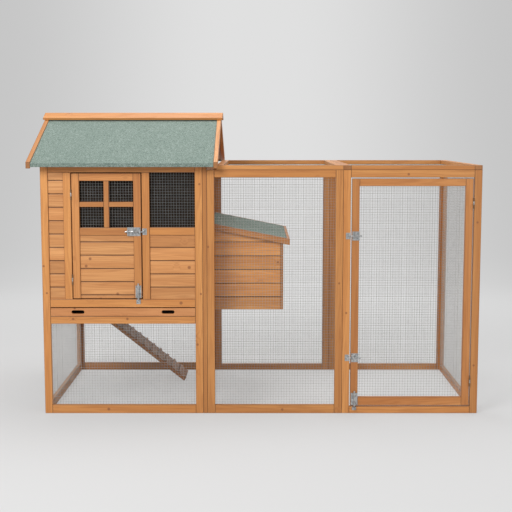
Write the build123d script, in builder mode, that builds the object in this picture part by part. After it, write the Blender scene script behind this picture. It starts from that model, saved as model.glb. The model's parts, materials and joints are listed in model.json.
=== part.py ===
import os
from math import cos, radians, sin, tan

from build123d import *

os.makedirs("parts", exist_ok=True)

# All sizes are in mm. They are laid out from the house's front left bottom corner,
# X to the right, Y to the back, Z up, and shifted at the end to the bottom centre.
house_length = 768
bay_length = 632
door_bay_length = 640
depth = 940

# Timber
wide = 35
thick = 20
sill = 40
low_sill = 33
joint = 0.2
seat = 0.3

# Heights of the house front, from the ground up
leg_clear = 429
tray_opening = 43
door_ledge = 38
door_opening = 591
front_rise = 17

# Widths of the house front
column = 70
house_door_opening = 328
window_sill = 301

# Siding boards
board_pitch = 62.2
board_first = 36.7
door_board_first = 31
board_thick = 12
board_recess = 5
groove = 5

# Run
run_height = 1148
top_frame_thick = 21
top_frame_start = 44
side_rail = 40

# Doors
hinge_gap = 3.4
door_gap = 4
run_hinge_gap = 5
run_door_gap = 5
door_mid_rail = 35
door_siding_height = 296
window_bar = 24
run_door_bottom = 40

# Butt hinges: barrel, pin and leaves
barrel_radius = 3
pin_radius = 1.5
pin_clearance = 0.05
barrel_length = 48
barrel_gap = 0.4
barrel_offset = 3.5
leaf_thick = 1.2
leaf_depth = 18
house_hinge_low = 69
house_hinge_high = 465
run_hinge_low = 92
run_hinge_high = 932

# Bolts
bar_radius = 4
bar_clearance = 0.3
bar_front = 6.2
plate_thick = 1.2
strap = 5
strap_wall = 1.8
bolt_throw = 8
tip_gap = 1.5
knob_radius = 3
knob_length = 12
bolt_set = 3
keeper_set = 2
keeper_length = 20
keeper_width = 30
house_bolt_length = 62
house_bolt_width = 40
house_bolt_height = 313
house_low_bolt_length = 58
house_low_bolt_width = 27
house_low_bolt_edge = 16.5
run_bolt_length = 34
run_bolt_width = 42
run_bolt_high = 804
run_bolt_mid = 229
run_foot_length = 57
run_foot_width = 32
run_foot_edge = 19
low_keeper_length = 16

# Nets: one lap over the timber, one gauge and one pitch
net_lap = 5
net_thick = 1.2
net_strand = 3
net_pitch = 52
end_net_pitch = 56

# Tray
tray_side_gap = 1
tray_bottom_gap = 2
tray_top_gap = 4
tray_board = 14
tray_depth = 600
tray_inset = 5
tray_sheet = 1.2
tray_rim = 30
tray_lip = 10
slot_length = 60
slot_height = 17
slot_from_end = 97

# Floor and ramp
floor_thick = 9
bearer_wide = 35
bearer_thick = 20
ramp_hinge_x = 86
ramp_hinge_drop = 17
ramp_front = 650
ramp_width = 180
ramp_side_gap = 5
ramp_thick = 18
ramp_slope = 38.6
ramp_ground_gap = 1
ramp_start = 12
hatch_length = 255
header_wide = 20
header_gap = 5
ramp_leaf_depth = 10
cleat_height = 6
cleat_width = 14
cleat_pitch = 48
cleat_margin = 45

# Roof
roof_pitch = 23
eave_overhang = 50
side_overhang = 34
roof_board = 9
felt = 3
felt_drop = 18
ridge_gap = 0.4
barge_thick = 20
barge_depth = 30
barge_rise = 5
cap_width = 65
cap_thick = 11
cap_overhang = 8

# Nest box
nest_front = 140
nest_length = 344
nest_depth = 660
nest_side = 12
nest_end = 14
nest_floor_thick = 12
nest_floor_height = 474
nest_board_first = 61.2
nest_board_pitch = 66.05
nest_inlet_post = 35
nest_inlet_head = 760
divider_height = 214
lid_gap = 7
lid_slope = 11.3
lid_height = 893.7
lid_reach = 389
lid_side = 20
lid_board = 10
lid_felt = 3
lid_edge_depth = 29
lid_edge_thick = 14
lid_leaf_depth = 11
lid_hinge_inset = 106

# Derived places
post_x = house_length + bay_length
end_x = post_x + door_bay_length
mid_y = depth / 2
ridge_end = side_overhang + barge_thick + cap_overhang
mid_x = (end_x - ridge_end) / 2
inner_x = house_length - thick
floor_z = leg_clear + wide
tray_z = floor_z + tray_opening
door_z = tray_z + door_ledge
head_z = door_z + door_opening
wall_z = head_z + wide
front_z = wall_z + front_rise
door_x = wide + column + wide
door_end_x = door_x + house_door_opening
panel_x = door_end_x + wide
back_in = depth - thick
run_in = end_x - thick
net_y = thick + joint
first_line = head_z - board_first


def slab(x, y, z, mode=Mode.ADD):
    # A square timber or board from its limits along X, Y and Z
    spot = ((x[0] + x[1]) / 2 - mid_x, (y[0] + y[1]) / 2 - mid_y, (z[0] + z[1]) / 2)
    with Locations(spot):
        Box(x[1] - x[0], y[1] - y[0], z[1] - z[0], mode=mode)


def between(low, high):
    # The space between two timbers less a joint at both ends
    return (low + joint, high - joint)


def profile(points, x):
    # A prism along X from its outline in Y and Z
    with BuildSketch(Plane.YZ.offset(x[0] - mid_x)) as outline:
        with BuildLine():
            Polyline([(y - mid_y, z) for y, z in points], close=True)
        make_face()
    extrude(outline.sketch, amount=x[1] - x[0])


def side_profile(points, y):
    # A prism along Y from its outline in X and Z
    with BuildSketch(Plane.XZ.offset(-(y[1] - mid_y))) as outline:
        with BuildLine():
            Polyline([(x - mid_x, z) for x, z in points], close=True)
        make_face()
    extrude(outline.sketch, amount=y[1] - y[0])


def board_lines(first, pitch, z):
    # Heights of the board joints that lie well inside a panel
    lines = [first + pitch * k for k in range(-40, 40)]
    return [line for line in lines if z[0] + 2 * groove < line < z[1] - 2 * groove]


def score(x, y, lines, along, face):
    # V grooves at the board joints, along X or Y on the face at the given place
    side = groove / 2**0.5
    for line in lines:
        if along == "x":
            spot = Location(((x[0] + x[1]) / 2 - mid_x, face - mid_y, line), (45, 0, 0))
            with Locations(spot):
                Box(x[1] - x[0] + joint, side, side, mode=Mode.SUBTRACT)
        else:
            spot = Location((face - mid_x, (y[0] + y[1]) / 2 - mid_y, line), (0, 45, 0))
            with Locations(spot):
                Box(side, y[1] - y[0] + joint, side, mode=Mode.SUBTRACT)


def siding(x, y, z, along, face):
    # A panel of grooved boards on the walls' common board lines
    slab(x, y, z)
    score(x, y, board_lines(first_line, board_pitch, z), along, face)


def net_plate(length, height, pitch):
    # A flat net with a plain rim where it laps the timber
    across = max(1, round((length - 2 * net_lap) / pitch))
    up = max(1, round((height - 2 * net_lap) / pitch))
    step_x = (length - 2 * net_lap) / across
    step_y = (height - 2 * net_lap) / up
    hole = Wire.make_rect(step_x - net_strand, step_y - net_strand)
    grid = GridLocations(step_x, step_y, across, up).local_locations
    holes = [spot * hole for spot in grid]
    face = Face(Wire.make_rect(length, height), holes)
    with BuildPart() as plate:
        extrude(Pos(0, 0, -net_thick / 2) * face, amount=net_thick, dir=(0, 0, 1))
    return plate.part


def front_net(x, z, y):
    # A net in an XZ opening, its near face at the given depth
    net = net_plate(x[1] - x[0] + 2 * net_lap, z[1] - z[0] + 2 * net_lap, net_pitch)
    spot = ((x[0] + x[1]) / 2 - mid_x, y + net_thick / 2 - mid_y, (z[0] + z[1]) / 2)
    return Location(spot, (90, 0, 0)) * net


def side_net(y, z, x, pitch):
    # A net in a YZ opening, its left face at the given place
    net = net_plate(y[1] - y[0] + 2 * net_lap, z[1] - z[0] + 2 * net_lap, pitch)
    spot = (x + net_thick / 2 - mid_x, (y[0] + y[1]) / 2 - mid_y, (z[0] + z[1]) / 2)
    return Location(spot) * (Rot(0, 0, 90) * (Rot(90, 0, 0) * net))


def flat_net(x, y, z):
    # A net in an XY opening, its top at the given height
    net = net_plate(x[1] - x[0] + 2 * net_lap, y[1] - y[0] + 2 * net_lap, net_pitch)
    spot = ((x[0] + x[1]) / 2 - mid_x, (y[0] + y[1]) / 2 - mid_y, z - net_thick / 2)
    return Location(spot) * net


def hinge_leaf(side, space, leaf, fixed):
    # One leaf of a butt hinge: barrel on local Z, leaf to local +Y, side is -1 or 1
    part_length = (barrel_length - 2 * barrel_gap) / 3
    if fixed:
        spans = [(0, part_length), (barrel_length - part_length, barrel_length)]
    else:
        low = part_length + barrel_gap
        spans = [(low, low + part_length)]
    outer = space / 2 - joint
    centre = side * (outer - leaf_thick / 2)
    with BuildPart() as piece:
        with Locations((centre, barrel_offset + leaf / 2, barrel_length / 2)):
            Box(leaf_thick, leaf, barrel_length)
        for low, high in spans:
            with Locations((centre, barrel_offset / 2, (low + high) / 2)):
                Box(leaf_thick, barrel_offset, high - low)
            with Locations((0, 0, (low + high) / 2)):
                Cylinder(barrel_radius, high - low)
        with Locations((0, 0, barrel_length / 2)):
            if fixed:
                Cylinder(pin_radius, barrel_length)
            else:
                Cylinder(pin_radius + pin_clearance, barrel_length, mode=Mode.SUBTRACT)
    return piece.part


def strap_block(centre, width_front):
    # A guide over the bolt bar, from its plate to the front of the bar
    outer = bar_radius + bar_clearance + strap_wall
    reach = width_front + outer
    with Locations((centre, -(plate_thick + joint + reach) / 2, 0)):
        Box(strap, reach - plate_thick - joint, 2 * outer)
    with Locations(Location((centre, -bar_front, 0), (0, 90, 0))):
        Cylinder(bar_radius + bar_clearance, strap + 1, mode=Mode.SUBTRACT)


def bolt_plate(length, width):
    # Bolt plate with two guides: local X is the way it shoots, the door's edge is at 0
    with BuildPart() as piece:
        with Locations((-bolt_set - length / 2, -joint - plate_thick / 2, 0)):
            Box(length, plate_thick, width)
        strap_block(-bolt_set - strap / 2, bar_front)
        strap_block(-bolt_set - length + strap / 2, bar_front)
    return piece.part


def bolt_bar(length, space):
    # Bolt bar at rest, its tip just short of the keeper's guide
    tip = space + keeper_set + 3 - tip_gap
    tail = -bolt_set - length - bolt_throw - 2
    with BuildPart() as piece:
        with Locations(Location(((tip + tail) / 2, -bar_front, 0), (0, 90, 0))):
            Cylinder(bar_radius, tip - tail)
        middle = -bolt_set - length / 2
        with Locations(Location((middle, -bar_front - knob_length / 2, 0), (90, 0, 0))):
            Cylinder(knob_radius, knob_length)
    return piece.part


def keeper(length, width, space):
    # Keeper plate with one guide on the post
    start = space + keeper_set
    with BuildPart() as piece:
        with Locations((start + length / 2, -joint - plate_thick / 2, 0)):
            Box(length, plate_thick, width)
        strap_block(start + 3 + strap / 2, bar_front)
    return piece.part


def save(piece, label):
    piece.label = label
    export_step(piece, "parts/" + label + ".step")


def collect(pieces, label):
    # One node of separate pieces that are already in place
    with BuildPart() as group:
        for piece in pieces:
            add(piece)
    save(group.part, label)


def place(x, y, z, turn=(0, 0, 0)):
    return Location((x - mid_x, y - mid_y, z), turn)


# House front frame: posts, rails, door jambs
house_rails = [(0, sill), (leg_clear, floor_z), (tray_z, door_z), (head_z, front_z)]
with BuildPart() as house_front_frame:
    for left in (0, inner_x - joint - wide):
        slab((left, left + wide), (0, thick), (0, front_z))
    post_gap = between(wide, inner_x - joint - wide)
    for low, high in house_rails:
        slab(post_gap, (0, thick), (low, high))
    for left in (door_x - wide, door_end_x):
        slab((left, left + wide), (0, thick), between(door_z, head_z))
    slab(
        between(panel_x, inner_x - joint - wide),
        (0, thick),
        (door_z + window_sill, door_z + window_sill + wide),
    )
save(house_front_frame.part, "house_front_frame")

# House front siding: the narrow column and the panel under the window
with BuildPart() as house_front_siding:
    panels = (
        (between(wide, wide + column), between(door_z, head_z)),
        (
            between(panel_x, inner_x - joint - wide),
            between(door_z, door_z + window_sill),
        ),
    )
    for x, z in panels:
        siding(x, (board_recess, board_recess + board_thick), z, "x", board_recess)
save(house_front_siding.part, "house_front_siding")

window_low = door_z + window_sill + wide
window_net = front_net((panel_x, inner_x - wide), (window_low, head_z), net_y)
collect([window_net], "house_window_net")
under_net = front_net((wide, inner_x - wide), (sill, leg_clear), net_y)
collect([under_net], "under_front_net")

# House left wall
wall_y = (thick + joint, back_in - joint)
wall_posts = (wall_y[0], wall_y[1] - wide)
wall_gap = between(wall_y[0] + wide, wall_y[1] - wide)
with BuildPart() as house_left_frame:
    for front in wall_posts:
        slab((0, thick), (front, front + wide), (0, wall_z))
    for low, high in ((0, sill), (leg_clear, floor_z), (head_z, wall_z)):
        slab((0, thick), wall_gap, (low, high))
save(house_left_frame.part, "house_left_frame")

with BuildPart() as house_left_siding:
    siding(
        (board_recess, board_recess + board_thick),
        wall_gap,
        between(floor_z, head_z),
        "y",
        board_recess,
    )
save(house_left_siding.part, "house_left_siding")

left_net = side_net(
    (wall_y[0] + wide + 2, wall_y[1] - wide - 2), (sill, leg_clear), thick + joint
, net_pitch)
collect([left_net], "under_left_net")

# House right wall, with the way into the nest box
inlet = (nest_front + thick, nest_front + nest_depth - thick)
with BuildPart() as house_right_frame:
    right_x = (inner_x, house_length)
    right_gap = between(wide, depth - wide)
    for front in (0, depth - wide):
        slab(right_x, (front, front + wide), (0, wall_z))
    for low, high in ((0, low_sill), (leg_clear, floor_z), (head_z, wall_z)):
        slab(right_x, right_gap, (low, high))
    for front in (inlet[0] - nest_inlet_post, inlet[1]):
        slab(right_x, (front, front + nest_inlet_post), between(floor_z, head_z))
    slab(right_x, between(*inlet), (nest_inlet_head, nest_inlet_head + wide))
save(house_right_frame.part, "house_right_frame")

with BuildPart() as house_right_siding:
    boards_x = (house_length - board_thick, house_length)
    panels = (
        (between(wide, inlet[0] - nest_inlet_post), between(floor_z, head_z)),
        (between(inlet[1] + nest_inlet_post, depth - wide), between(floor_z, head_z)),
        (between(*inlet), between(nest_inlet_head + wide, head_z)),
    )
    for y, z in panels:
        siding(boards_x, y, z, "y", house_length)
save(house_right_siding.part, "house_right_siding")

# House back wall
with BuildPart() as house_back_frame:
    for left in (0, inner_x - joint - wide):
        slab((left, left + wide), (back_in, depth), (0, front_z))
    for low, high in ((0, sill), (leg_clear, floor_z), (head_z, front_z)):
        slab(post_gap, (back_in, depth), (low, high))
save(house_back_frame.part, "house_back_frame")

with BuildPart() as house_back_siding:
    back_face = depth - board_recess
    siding(
        post_gap,
        (back_face - board_thick, back_face),
        between(floor_z, head_z),
        "x",
        back_face,
    )
save(house_back_siding.part, "house_back_siding")

back_net_y = back_in - joint - net_thick
back_net = front_net((wide, inner_x - wide), (sill, leg_clear), back_net_y)
collect([back_net], "under_back_net")

# House floor with the ramp's hatch, and what carries it
hatch_x = ramp_hinge_x - 1
hatch_y = (ramp_front - 2, ramp_front + ramp_width + 2)
with BuildPart() as house_floor:
    slab(
        between(thick, inner_x),
        between(thick, back_in),
        (floor_z - floor_thick, floor_z),
    )
    slab(
        (hatch_x, hatch_x + hatch_length),
        hatch_y,
        (floor_z - 2 * floor_thick, floor_z + floor_thick),
        mode=Mode.SUBTRACT,
    )
save(house_floor.part, "house_floor")

bearer_top = floor_z - floor_thick - joint
bearer_z = (bearer_top - bearer_thick, bearer_top)
bearer_front = ramp_front - ramp_side_gap - bearer_wide
bearer_back = ramp_front + ramp_width + ramp_side_gap
header_x = ramp_hinge_x - header_gap
with BuildPart() as floor_bearers:
    for front in (bearer_front, bearer_back):
        slab(between(thick, inner_x), (front, front + bearer_wide), bearer_z)
    slab(
        (header_x - header_wide, header_x),
        between(bearer_front + bearer_wide, bearer_back),
        bearer_z,
    )
save(floor_bearers.part, "floor_bearers")

# Roof lines: the height of the felt's top over any depth, and of the boards' underside
pitch = radians(roof_pitch)
roof_step = (roof_board + felt + joint / 2) / cos(pitch)


def felt_top(y):
    near = min(y, depth - y)
    return front_z + seat + roof_step + near * tan(pitch)


def board_under(y):
    return felt_top(y) - roof_step


def felt_under(y):
    return felt_top(y) - felt / cos(pitch)


def both_slopes(points):
    # An outline on the front slope and its copy on the back slope
    return [points, [(depth - y, z) for y, z in points]]


gable_z = wall_z + joint
with BuildPart() as gable_boards:
    for x, y, face in (
        ((0, thick), wall_y, 0),
        ((inner_x, house_length), (0, depth), house_length),
    ):
        outline = [
            (y[0], gable_z),
            (y[1], gable_z),
            (y[1], board_under(y[1]) - seat),
            (mid_y, board_under(mid_y) - seat),
            (y[0], board_under(y[0]) - seat),
        ]
        profile(outline, x)
        lines = board_lines(first_line, board_pitch, (gable_z, board_under(mid_y)))
        score(x, (y[0] - 1, y[1] + 1), lines, "y", face)
save(gable_boards.part, "gable_boards")

roof_x = (-side_overhang + joint, house_length + side_overhang - joint)
ridge_y = mid_y - ridge_gap / 2
eave = -eave_overhang
board_eave = eave + felt + joint
slab_drop = joint / 2 / cos(pitch)
board_outline = [
    (board_eave, felt_under(board_eave) - slab_drop),
    (ridge_y, felt_under(ridge_y) - slab_drop),
    (ridge_y, board_under(ridge_y)),
    (board_eave, board_under(board_eave)),
]
with BuildPart() as roof_panels:
    for outline in both_slopes(board_outline):
        profile(outline, roof_x)
save(roof_panels.part, "roof_panels")

felt_outline = [
    (eave, felt_top(eave)),
    (ridge_y, felt_top(ridge_y)),
    (ridge_y, felt_under(ridge_y)),
    (eave + felt, felt_under(eave + felt)),
    (eave + felt, felt_top(eave) - felt_drop),
    (eave, felt_top(eave) - felt_drop),
]
with BuildPart() as roof_felt:
    for outline in both_slopes(felt_outline):
        profile(outline, roof_x)
save(roof_felt.part, "roof_felt")

barge_outline = [
    (eave, felt_top(eave) + barge_rise),
    (ridge_y, felt_top(ridge_y) + barge_rise),
    (ridge_y, felt_top(ridge_y) + barge_rise - barge_depth),
    (eave, felt_top(eave) + barge_rise - barge_depth),
]
with BuildPart() as barge_boards:
    for left in (-side_overhang - barge_thick, house_length + side_overhang):
        for outline in both_slopes(barge_outline):
            profile(outline, (left, left + barge_thick))
save(barge_boards.part, "barge_boards")

cap_low = barge_rise + joint
cap_run = cap_width * cos(pitch)
cap_outline = [
    (ridge_y, felt_top(ridge_y) + cap_low),
    (ridge_y - cap_run, felt_top(ridge_y - cap_run) + cap_low),
    (
        ridge_y - cap_run - cap_thick * sin(pitch),
        felt_top(ridge_y - cap_run) + cap_low + cap_thick * cos(pitch),
    ),
    (ridge_y, felt_top(ridge_y) + cap_low + cap_thick / cos(pitch)),
]
with BuildPart() as ridge_cap:
    for outline in both_slopes(cap_outline):
        profile(outline, (-ridge_end, house_length + ridge_end))
save(ridge_cap.part, "ridge_cap")

# House door: frame with window bars, boards below, net behind the window
leaf_x = (door_x + hinge_gap, door_end_x - door_gap)
leaf_z = (door_z + door_gap, head_z - door_gap)
leaf_in = (leaf_x[0] + wide, leaf_x[1] - wide)
mid_rail_z = leaf_z[0] + door_siding_height
pane_z = (mid_rail_z + door_mid_rail, leaf_z[1] - wide)
bar_x = (sum(leaf_in) / 2 - window_bar / 2, sum(leaf_in) / 2 + window_bar / 2)
bar_z = (sum(pane_z) / 2 - window_bar / 2, sum(pane_z) / 2 + window_bar / 2)
with BuildPart() as house_door_frame:
    for left in (leaf_x[0], leaf_x[1] - wide):
        slab((left, left + wide), (0, thick), leaf_z)
    slab(between(*leaf_in), (0, thick), (leaf_z[1] - wide, leaf_z[1]))
    slab(between(*leaf_in), (0, thick), (mid_rail_z, mid_rail_z + door_mid_rail))
    slab(bar_x, (0, thick), between(*pane_z))
    slab(between(leaf_in[0], bar_x[0]), (0, thick), bar_z)
    slab(between(bar_x[1], leaf_in[1]), (0, thick), bar_z)
save(house_door_frame.part, "house_door_frame")

with BuildPart() as house_door_siding:
    door_boards_y = (board_recess, board_recess + board_thick)
    door_boards_z = (leaf_z[0], mid_rail_z - joint)
    slab(between(*leaf_in), door_boards_y, door_boards_z)
    door_lines = board_lines(mid_rail_z - door_board_first, board_pitch, door_boards_z)
    score(leaf_in, door_boards_y, door_lines, "x", board_recess)
save(house_door_siding.part, "house_door_siding")

collect([front_net(leaf_in, pane_z, net_y)], "house_door_net")

# Run door: frame and net
run_open = (post_x + joint + wide, end_x - wide)
run_leaf_x = (run_open[0] + run_door_gap, run_open[1] - run_hinge_gap)
run_leaf_z = (low_sill + run_door_gap, run_height - wide - run_door_gap)
run_in_x = (run_leaf_x[0] + wide, run_leaf_x[1] - wide)
run_in_z = (run_leaf_z[0] + run_door_bottom, run_leaf_z[1] - wide)
with BuildPart() as run_door_frame:
    for left in (run_leaf_x[0], run_leaf_x[1] - wide):
        slab((left, left + wide), (0, thick), run_leaf_z)
    slab(between(*run_in_x), (0, thick), (run_leaf_z[0], run_in_z[0]))
    slab(between(*run_in_x), (0, thick), (run_in_z[1], run_leaf_z[1]))
save(run_door_frame.part, "run_door_frame")

collect([front_net(run_in_x, run_in_z, net_y)], "run_door_net")

# Hinges of both doors
house_axis_x = door_x + hinge_gap / 2
run_axis_x = run_open[1] - run_hinge_gap / 2
house_hinges = [door_z + house_hinge_low, door_z + house_hinge_high]
run_hinges = [run_leaf_z[0] + run_hinge_low, run_leaf_z[0] + run_hinge_high]
post_leaves = []
house_leaves = []
run_leaves = []
for z in house_hinges:
    spot = place(house_axis_x, -barrel_offset, z)
    post_leaves.append(spot * hinge_leaf(-1, hinge_gap, leaf_depth, True))
    house_leaves.append(spot * hinge_leaf(1, hinge_gap, leaf_depth, False))
for z in run_hinges:
    spot = place(run_axis_x, -barrel_offset, z)
    post_leaves.append(spot * hinge_leaf(1, run_hinge_gap, leaf_depth, True))
    run_leaves.append(spot * hinge_leaf(-1, run_hinge_gap, leaf_depth, False))
collect(post_leaves, "door_hinge_post_leaves")

# Bolts: plates on the doors, bars in their guides, keepers on the posts
house_bolt_place = place(leaf_x[1], 0, leaf_z[0] + house_bolt_height)
house_low_place = place(leaf_x[1] - house_low_bolt_edge, 0, leaf_z[0], (0, 90, 0))
run_high_place = place(run_leaf_x[0], 0, run_leaf_z[0] + run_bolt_high, (0, 180, 0))
run_mid_place = place(run_leaf_x[0], 0, run_leaf_z[0] + run_bolt_mid, (0, 180, 0))
run_foot_place = place(run_leaf_x[0] + run_foot_edge, 0, run_leaf_z[0], (0, 90, 0))

house_hardware = house_leaves + [
    house_bolt_place * bolt_plate(house_bolt_length, house_bolt_width),
    house_low_place * bolt_plate(house_low_bolt_length, house_low_bolt_width),
]
collect(house_hardware, "house_door_hardware")
run_hardware = run_leaves + [
    run_high_place * bolt_plate(run_bolt_length, run_bolt_width),
    run_mid_place * bolt_plate(run_bolt_length, run_bolt_width),
    run_foot_place * bolt_plate(run_foot_length, run_foot_width),
]
collect(run_hardware, "run_door_hardware")

collect([house_bolt_place * bolt_bar(house_bolt_length, door_gap)], "house_bolt_upper")
low_bar = bolt_bar(house_low_bolt_length, door_gap)
collect([house_low_place * low_bar], "house_bolt_lower")
run_bar = bolt_bar(run_bolt_length, run_door_gap)
collect([run_high_place * run_bar], "run_bolt_upper")
collect([run_mid_place * run_bar], "run_bolt_middle")
foot_bar = bolt_bar(run_foot_length, run_door_gap)
collect([run_foot_place * foot_bar], "run_bolt_foot")

keepers = [
    house_bolt_place * keeper(keeper_length, keeper_width, door_gap),
    house_low_place * keeper(keeper_length, keeper_length, door_gap),
    run_high_place * keeper(keeper_length, keeper_width, run_door_gap),
    run_mid_place * keeper(keeper_length, keeper_width, run_door_gap),
    run_foot_place * keeper(low_keeper_length, keeper_length, run_door_gap),
]
collect(keepers, "bolt_keepers")

# Tray: front board with two hand slots, and a sheet pan
tray_x = (wide + joint + tray_side_gap, inner_x - 2 * joint - wide - tray_side_gap)
tray_front_z = (floor_z + tray_bottom_gap, tray_z - tray_top_gap)
with BuildPart() as tray_front:
    slab(tray_x, (0, tray_board), tray_front_z)
    slot_z = sum(tray_front_z) / 2
    with BuildSketch(Plane.XZ.offset(mid_y + 1)):
        left_slot = tray_x[0] + slot_from_end + slot_length / 2
        right_slot = tray_x[1] - slot_from_end - slot_length / 2
        with Locations((left_slot - mid_x, slot_z), (right_slot - mid_x, slot_z)):
            SlotOverall(slot_length, slot_height)
    extrude(amount=-(tray_board + 2), mode=Mode.SUBTRACT)
save(tray_front.part, "tray_front")

pan_x = (tray_x[0] + tray_inset, tray_x[1] - tray_inset)
pan_y = (tray_board + joint, tray_depth)
pan_z = floor_z + seat
with BuildPart() as tray_pan:
    slab(pan_x, pan_y, (pan_z, pan_z + tray_rim))
    slab(
        (pan_x[0] + tray_sheet, pan_x[1] - tray_sheet),
        (pan_y[0] + tray_sheet, pan_y[1] - tray_sheet),
        (pan_z + tray_sheet, pan_z + tray_rim + 1),
        mode=Mode.SUBTRACT,
    )
    slab(
        (pan_x[0] + tray_sheet, pan_x[1] - tray_sheet),
        (pan_y[0] - 1, pan_y[0] + 2 * tray_sheet),
        (pan_z + tray_lip, pan_z + tray_rim + 1),
        mode=Mode.SUBTRACT,
    )
save(tray_pan.part, "tray_pan")

# Ramp: its hinge line runs along Y, the board slopes down to the right
slope = radians(ramp_slope)
ramp_z = floor_z - ramp_hinge_drop
ramp_down = barrel_offset + ramp_thick
ramp_length = (ramp_z - ramp_ground_gap - ramp_down * cos(slope)) / sin(slope)


def ramp_point(along, up):
    # A point in the ramp's own lines: distance from the hinge and height off its line
    x = ramp_hinge_x + along * cos(slope) + up * sin(slope)
    return (x, ramp_z - along * sin(slope) + up * cos(slope))


def ramp_bar(along, up):
    corners = [(along[0], up[0]), (along[1], up[0]), (along[1], up[1]), (along[0], up[1])]
    side_profile([ramp_point(a, b) for a, b in corners], ramp_y)


ramp_y = (ramp_front, ramp_front + ramp_width)
ramp_top = -barrel_offset
with BuildPart() as ramp_board:
    ramp_bar((ramp_start, ramp_length), (ramp_top - ramp_thick, ramp_top))
save(ramp_board.part, "ramp_board")

with BuildPart() as ramp_cleats:
    count = int((ramp_length - ramp_start - 2 * cleat_margin) // cleat_pitch) + 1
    for k in range(count):
        start = ramp_start + cleat_margin + k * cleat_pitch
        low = ramp_top + joint
        ramp_bar((start, start + cleat_width), (low, low + cleat_height))
save(ramp_cleats.part, "ramp_cleats")

# Ramp hinge: a long barrel in three parts, one leaf on the header, one on the board
barrel_part = (ramp_width - 2 * barrel_gap) / 3
barrel_ends = [
    (ramp_y[0], ramp_y[0] + barrel_part),
    (ramp_y[1] - barrel_part, ramp_y[1]),
]
barrel_mid = (barrel_ends[0][1] + barrel_gap, barrel_ends[1][0] - barrel_gap)


def ramp_barrel(y, radius, mode=Mode.ADD):
    with Locations(place(ramp_hinge_x, (y[0] + y[1]) / 2, ramp_z, (90, 0, 0))):
        Cylinder(radius, y[1] - y[0], mode=mode)


header_leaf = header_x + joint + leaf_thick
with BuildPart() as ramp_hinge_floor_leaf:
    slab((header_x + joint, header_leaf), ramp_y, (bearer_z[0], bearer_top))
    for span in barrel_ends:
        ramp_barrel(span, barrel_radius)
        web = (ramp_z - leaf_thick / 2, ramp_z + leaf_thick / 2)
        slab((header_leaf - leaf_thick / 2, ramp_hinge_x), span, web)
    ramp_barrel(ramp_y, pin_radius)
save(ramp_hinge_floor_leaf.part, "ramp_hinge_floor_leaf")

with BuildPart() as ramp_hinge_leaf:
    leaf_low = ramp_top + joint
    leaf_start = barrel_radius + barrel_gap
    leaf_end = ramp_start + ramp_leaf_depth + leaf_depth
    ramp_bar((leaf_start, leaf_end), (leaf_low, leaf_low + leaf_thick))
    mid_web = [(0, leaf_low), (leaf_start + 1, leaf_low)]
    mid_web += [(a, b + leaf_thick) for a, b in reversed(mid_web)]
    side_profile([ramp_point(a, b) for a, b in mid_web], barrel_mid)
    ramp_barrel(barrel_mid, barrel_radius)
    ramp_barrel(barrel_mid, pin_radius + pin_clearance, mode=Mode.SUBTRACT)
save(ramp_hinge_leaf.part, "ramp_hinge_leaf")

# Nest box lid: its top falls to the right from the house wall
lid_fall = tan(radians(lid_slope))
lid_x = (house_length + lid_gap, house_length + lid_reach)
lid_y = (nest_front - lid_side, nest_front + nest_depth + lid_side)
lid_step = (lid_board + lid_felt + joint / 2) / cos(radians(lid_slope))


def lid_top(x, down=0):
    return lid_height - lid_fall * (x - house_length) - down


def lid_slice(x, y, high, low):
    # A piece that follows the lid's slope between two depths below its top
    outline = [(x[0], lid_top(x[0], high)), (x[1], lid_top(x[1], high))]
    outline += [(x[1], lid_top(x[1], low)), (x[0], lid_top(x[0], low))]
    side_profile(outline, y)


felt_step = lid_felt / cos(radians(lid_slope))
board_step = felt_step + joint / 2 / cos(radians(lid_slope))
cover_x = (lid_x[0], lid_x[1] - lid_edge_thick - joint)
cover_y = between(lid_y[0] + lid_edge_thick, lid_y[1] - lid_edge_thick)
with BuildPart() as nest_lid_panel:
    lid_slice(cover_x, cover_y, board_step, lid_step)
save(nest_lid_panel.part, "nest_lid_panel")

with BuildPart() as nest_lid_felt:
    lid_slice(cover_x, cover_y, 0, felt_step)
save(nest_lid_felt.part, "nest_lid_felt")

with BuildPart() as nest_lid_trim:
    for y in (
        (lid_y[0], lid_y[0] + lid_edge_thick),
        (lid_y[1] - lid_edge_thick, lid_y[1]),
    ):
        lid_slice(lid_x, y, 0, lid_edge_depth)
    lid_slice((lid_x[1] - lid_edge_thick, lid_x[1]), cover_y, 0, lid_edge_depth)
save(nest_lid_trim.part, "nest_lid_trim")

lid_axis_x = house_length + lid_gap / 2
lid_axis_z = lid_top(lid_x[0]) + barrel_offset
wall_leaves = []
lid_leaves = []
hinge_start = nest_front + lid_hinge_inset - barrel_length / 2
hinge_last = nest_front + nest_depth - lid_hinge_inset - barrel_length / 2
for y in (hinge_start, hinge_last):
    spot = place(lid_axis_x, y, lid_axis_z, (-90, 0, 0))
    wall_leaves.append(spot * hinge_leaf(-1, lid_gap, lid_leaf_depth, True))
    lid_leaves.append(spot * hinge_leaf(1, lid_gap, lid_leaf_depth, False))
collect(wall_leaves, "nest_hinge_wall_leaves")
collect(lid_leaves, "nest_lid_hinge_leaves")

# Nest box body
nest_x = (house_length + joint, house_length + nest_length)
nest_y = (nest_front, nest_front + nest_depth)
nest_in_y = between(nest_y[0] + nest_side, nest_y[1] - nest_side)


def nest_wall(x, y):
    top = lid_step + seat
    outline = [(x[0], nest_floor_height), (x[1], nest_floor_height)]
    outline += [(x[1], lid_top(x[1], top)), (x[0], lid_top(x[0], top))]
    side_profile(outline, y)


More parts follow.
